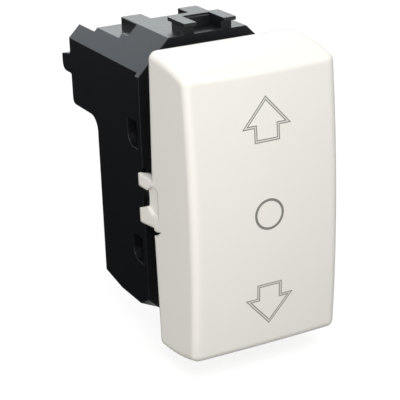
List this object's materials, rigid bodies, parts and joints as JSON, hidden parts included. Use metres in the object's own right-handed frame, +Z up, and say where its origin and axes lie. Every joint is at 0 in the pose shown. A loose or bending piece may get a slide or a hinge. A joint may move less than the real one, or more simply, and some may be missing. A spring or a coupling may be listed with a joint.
{
  "type": "roller shutter switch",
  "caption": "One-module wall switch mechanism with a three-position rocker, up, stop and down, for a roller shutter motor.",
  "frame": {"origin": "centre of the flange's front face, where the mechanism clips into its support frame", "axes": "+X to the right across the front, +Y into the wall, +Z up; the rocker faces -Y"},
  "size_m": [0.0228, 0.0434, 0.0464],
  "materials": {
    "cap_white": "smooth satin-gloss moulded plastic, warm white",
    "body_black": "satin black moulded plastic",
    "cradle_plastic": "plain moulded plastic, natural",
    "spring_steel": "drawn spring wire",
    "strip_brass": "stamped brass strip",
    "contact_silver": "bright silver alloy",
    "clamp_steel": "zinc-plated pressed steel",
    "screw_steel": "zinc-plated steel"
  },
  "bodies": {
    "base": {"front_frame": "body_black", "rear_housing": "body_black", "common_strip": "strip_brass", "upper_contact_strip": "strip_brass", "lower_contact_strip": "strip_brass", "upper_fixed_contact": "contact_silver", "lower_fixed_contact": "contact_silver", "clamp_cage_left": "clamp_steel", "clamp_cage_centre": "clamp_steel", "clamp_cage_right": "clamp_steel", "clamp_screw_left": "screw_steel", "clamp_screw_centre": "screw_steel", "clamp_screw_right": "screw_steel"},
    "rocker": {"rocker_cap": "cap_white", "rocker_cradle": "cradle_plastic", "plunger_spring": "spring_steel"},
    "plunger_pin": {"plunger": "cradle_plastic"},
    "seesaw": {"contact_blade": "strip_brass", "upper_moving_contact": "contact_silver", "lower_moving_contact": "contact_silver"}
  },
  "joints": [
    {"name": "rocker_hinge", "type": "hinge", "parent": "base", "child": "rocker", "pos_m": [0, 0.0005, 0], "axis": [1, 0, 0], "range_deg": [-8, 8]},
    {"name": "plunger_slide", "type": "slide", "parent": "rocker", "child": "plunger_pin", "axis": [0, -1, 0], "range_m": [0, 0.0008], "stiffness_N_per_m": 900, "springref_m": -0.002, "deforming": ["plunger_spring"]},
    {"name": "seesaw_tilt", "type": "hinge", "parent": "base", "child": "seesaw", "pos_m": [0, 0.01055, 0], "axis": [1, 0, 0], "range_deg": [-10.2, 10.2]}
  ],
  "couplings": [
    {"joint": "seesaw_tilt", "follows": "rocker_hinge", "ratio": -1.25}
  ]
}
